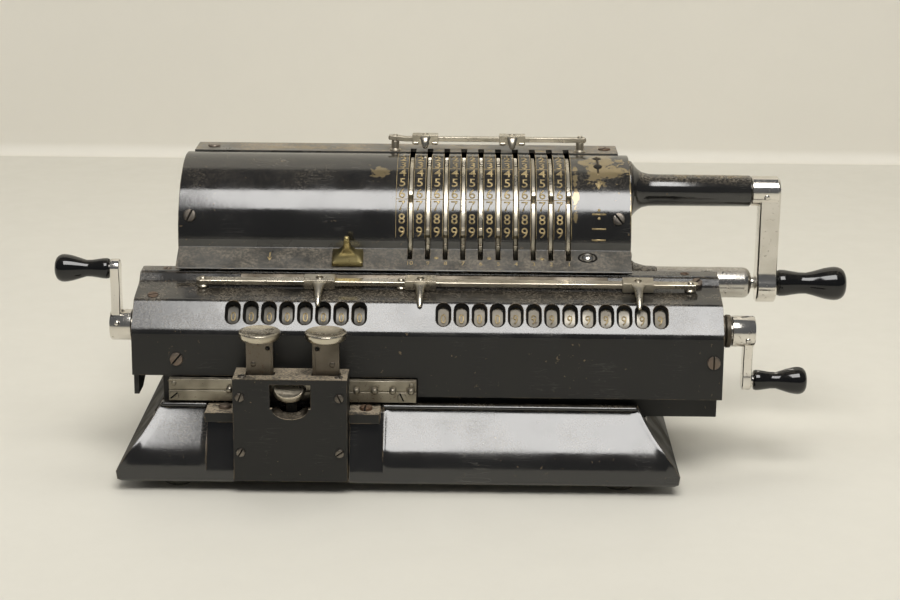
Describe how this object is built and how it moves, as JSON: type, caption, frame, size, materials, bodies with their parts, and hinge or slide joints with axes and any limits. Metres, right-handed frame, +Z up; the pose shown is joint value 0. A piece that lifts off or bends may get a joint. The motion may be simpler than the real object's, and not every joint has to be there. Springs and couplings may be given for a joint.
{
  "type": "mechanical adding machine",
  "caption": "Hand-cranked pinwheel calculating machine with setting levers in a drum cover, a shifting register carriage and clearing cranks on a cast base.",
  "frame": {"origin": "middle of the object's footprint box, on the table plane", "axes": "+X along the drum towards the crank, +Y from the operator to the back, +Z up"},
  "size_m": [0.3412, 0.1346, 0.1314],
  "materials": {
    "enamel": "glossy black stoved enamel, dusty and worn at the edges",
    "satin_enamel": "satin black enamel",
    "nickel": "aged warm nickel plate",
    "chrome": "bright plate with light scratches",
    "steel": "plain machined steel",
    "brass": "dull tarnished brass",
    "knob_black": "polished black",
    "dial": "dull grey number wheels"
  },
  "bodies": {
    "frame": {"base_casting": "enamel", "bottom_plate": "steel", "side_frame_left": "satin_enamel", "side_frame_right": "satin_enamel", "setting_cover": "enamel", "rear_cover": "enamel", "control_box": "satin_enamel", "top_pointer_rail": "nickel", "crank_bearing_tube": "enamel", "crank_rest_tube": "chrome"},
    "drum": {"drum_shaft": "steel", "drum_gear": "steel", "pinwheel_disc_01": "nickel", "pinwheel_disc_02": "nickel", "pinwheel_disc_03": "nickel", "pinwheel_disc_04": "nickel", "pinwheel_disc_05": "nickel", "pinwheel_disc_06": "nickel", "pinwheel_disc_07": "nickel", "pinwheel_disc_08": "nickel", "pinwheel_disc_09": "nickel", "pinwheel_disc_10": "nickel"},
    "lever_01": {"setting_lever_01": "nickel"},
    "lever_02": {"setting_lever_02": "nickel"},
    "lever_03": {"setting_lever_03": "nickel"},
    "lever_04": {"setting_lever_04": "nickel"},
    "lever_05": {"setting_lever_05": "nickel"},
    "lever_06": {"setting_lever_06": "nickel"},
    "lever_07": {"setting_lever_07": "nickel"},
    "lever_08": {"setting_lever_08": "nickel"},
    "lever_09": {"setting_lever_09": "nickel"},
    "lever_10": {"setting_lever_10": "nickel"},
    "crank": {"crank_shaft": "steel", "crank_gear": "steel", "crank_arm": "chrome"},
    "crank_handle": {"crank_handle_spindle": "steel"},
    "crank_grip": {"crank_knob": "knob_black"},
    "carriage": {"carriage_cover": "enamel", "carriage_end_plate_left": "satin_enamel", "carriage_end_plate_right": "satin_enamel", "carriage_lower_rail": "satin_enamel", "shift_rack": "nickel", "carriage_guide_strip": "steel", "carriage_pointer_rail": "nickel"},
    "carriage_pointer_a": {"carriage_pointer_1": "nickel"},
    "carriage_pointer_b": {"carriage_pointer_2": "nickel"},
    "carriage_pointer_c": {"carriage_pointer_3": "nickel"},
    "turns_counter": {"counter_wheels": "dial"},
    "result_register": {"result_wheels": "dial"},
    "idlers": {"idler_gears": "steel"},
    "clear_left": {"clearing_crank_left": "chrome"},
    "clear_left_grip": {"clearing_knob_left": "knob_black"},
    "clear_right": {"clearing_crank_right": "chrome"},
    "clear_right_grip": {"clearing_knob_right": "knob_black"},
    "key_left": {"shift_key_left": "nickel"},
    "key_right": {"shift_key_right": "nickel"},
    "key_release": {"release_key": "nickel"},
    "marker": {"brass_marker": "brass"},
    "top_pointer_a": {"top_pointer_1": "nickel"},
    "top_pointer_b": {"top_pointer_2": "nickel"}
  },
  "joints": [
    {"name": "drum_turn", "type": "hinge", "parent": "frame", "child": "drum", "pos_m": [-0.02585, 0.02479, 0.091], "axis": [1, 0, 0], "continuous": true},
    {"name": "crank_turn", "type": "hinge", "parent": "frame", "child": "crank", "pos_m": [-0.02585, 0.02479, 0.1094], "axis": [1, 0, 0], "continuous": true},
    {"name": "lever_01_set", "type": "hinge", "parent": "drum", "child": "lever_01", "pos_m": [-0.02585, 0.02479, 0.091], "axis": [1, 0, 0], "range_deg": [-59.1, 29.55]},
    {"name": "lever_02_set", "type": "hinge", "parent": "drum", "child": "lever_02", "pos_m": [-0.02585, 0.02479, 0.091], "axis": [1, 0, 0], "range_deg": [-59.1, 29.55]},
    {"name": "lever_03_set", "type": "hinge", "parent": "drum", "child": "lever_03", "pos_m": [-0.02585, 0.02479, 0.091], "axis": [1, 0, 0], "range_deg": [-59.1, 29.55]},
    {"name": "lever_04_set", "type": "hinge", "parent": "drum", "child": "lever_04", "pos_m": [-0.02585, 0.02479, 0.091], "axis": [1, 0, 0], "range_deg": [-88.65, 0]},
    {"name": "lever_05_set", "type": "hinge", "parent": "drum", "child": "lever_05", "pos_m": [-0.02585, 0.02479, 0.091], "axis": [1, 0, 0], "range_deg": [-88.65, 0]},
    {"name": "lever_06_set", "type": "hinge", "parent": "drum", "child": "lever_06", "pos_m": [-0.02585, 0.02479, 0.091], "axis": [1, 0, 0], "range_deg": [-88.65, 0]},
    {"name": "lever_07_set", "type": "hinge", "parent": "drum", "child": "lever_07", "pos_m": [-0.02585, 0.02479, 0.091], "axis": [1, 0, 0], "range_deg": [-88.65, 0]},
    {"name": "lever_08_set", "type": "hinge", "parent": "drum", "child": "lever_08", "pos_m": [-0.02585, 0.02479, 0.091], "axis": [1, 0, 0], "range_deg": [-88.65, 0]},
    {"name": "lever_09_set", "type": "hinge", "parent": "drum", "child": "lever_09", "pos_m": [-0.02585, 0.02479, 0.091], "axis": [1, 0, 0], "range_deg": [-88.65, 0]},
    {"name": "lever_10_set", "type": "hinge", "parent": "drum", "child": "lever_10", "pos_m": [-0.02585, 0.02479, 0.091], "axis": [1, 0, 0], "range_deg": [-59.1, 29.55]},
    {"name": "handle_pull", "type": "slide", "parent": "crank", "child": "crank_handle", "axis": [1, 0, 0], "range_m": [0, 0.006], "stiffness_N_per_m": 400, "springref_m": -0.004},
    {"name": "crank_grip_turn", "type": "hinge", "parent": "crank_handle", "child": "crank_grip", "pos_m": [-0.02585, 0.02479, 0.0676], "axis": [1, 0, 0], "continuous": true},
    {"name": "carriage_shift", "type": "slide", "parent": "frame", "child": "carriage", "axis": [1, 0, 0], "range_m": [-0.0375, 0.015]},
    {"name": "carriage_pointer_a_slide", "type": "slide", "parent": "carriage", "child": "carriage_pointer_a", "axis": [1, 0, 0], "range_m": [-0.04, 0.025]},
    {"name": "carriage_pointer_b_slide", "type": "slide", "parent": "carriage", "child": "carriage_pointer_b", "axis": [1, 0, 0], "range_m": [0, 0.045]},
    {"name": "carriage_pointer_c_slide", "type": "slide", "parent": "carriage", "child": "carriage_pointer_c", "axis": [1, 0, 0], "range_m": [-0.03, 0.012]},
    {"name": "turns_counter_turn", "type": "hinge", "parent": "carriage", "child": "turns_counter", "pos_m": [-0.02585, -0.02957, 0.06132], "axis": [1, 0, 0], "continuous": true},
    {"name": "result_register_turn", "type": "hinge", "parent": "carriage", "child": "result_register", "pos_m": [-0.02585, -0.02957, 0.06132], "axis": [1, 0, 0], "continuous": true},
    {"name": "idlers_turn", "type": "hinge", "parent": "carriage", "child": "idlers", "pos_m": [-0.02585, -0.01119, 0.07135], "axis": [1, 0, 0], "continuous": true},
    {"name": "clear_left_turn", "type": "hinge", "parent": "carriage", "child": "clear_left", "pos_m": [-0.02585, -0.02957, 0.06132], "axis": [1, 0, 0], "continuous": true},
    {"name": "clear_left_grip_turn", "type": "hinge", "parent": "clear_left", "child": "clear_left_grip", "pos_m": [-0.02585, -0.02957, 0.08572], "axis": [1, 0, 0], "continuous": true},
    {"name": "clear_right_turn", "type": "hinge", "parent": "carriage", "child": "clear_right", "pos_m": [-0.02585, -0.02957, 0.06132], "axis": [1, 0, 0], "continuous": true},
    {"name": "clear_right_grip_turn", "type": "hinge", "parent": "clear_right", "child": "clear_right_grip", "pos_m": [-0.02585, -0.02957, 0.03982], "axis": [1, 0, 0], "continuous": true},
    {"name": "key_left_press", "type": "slide", "parent": "frame", "child": "key_left", "axis": [0, 0, -1], "range_m": [0, 0.005], "stiffness_N_per_m": 300, "springref_m": -0.004},
    {"name": "key_right_press", "type": "slide", "parent": "frame", "child": "key_right", "axis": [0, 0, -1], "range_m": [0, 0.005], "stiffness_N_per_m": 300, "springref_m": -0.004},
    {"name": "key_release_press", "type": "slide", "parent": "frame", "child": "key_release", "axis": [0, 0, -1], "range_m": [0, 0.004], "stiffness_N_per_m": 300, "springref_m": -0.004},
    {"name": "marker_slide", "type": "slide", "parent": "frame", "child": "marker", "axis": [1, 0, 0], "range_m": [-0.055, 0.015]},
    {"name": "top_pointer_a_slide", "type": "slide", "parent": "frame", "child": "top_pointer_a", "axis": [1, 0, 0], "range_m": [-0.005, 0.012]},
    {"name": "top_pointer_b_slide", "type": "slide", "parent": "frame", "child": "top_pointer_b", "axis": [1, 0, 0], "range_m": [-0.013, 0.022]}
  ],
  "couplings": [
    {"joint": "crank_turn", "follows": "drum_turn", "ratio": -1}
  ]
}
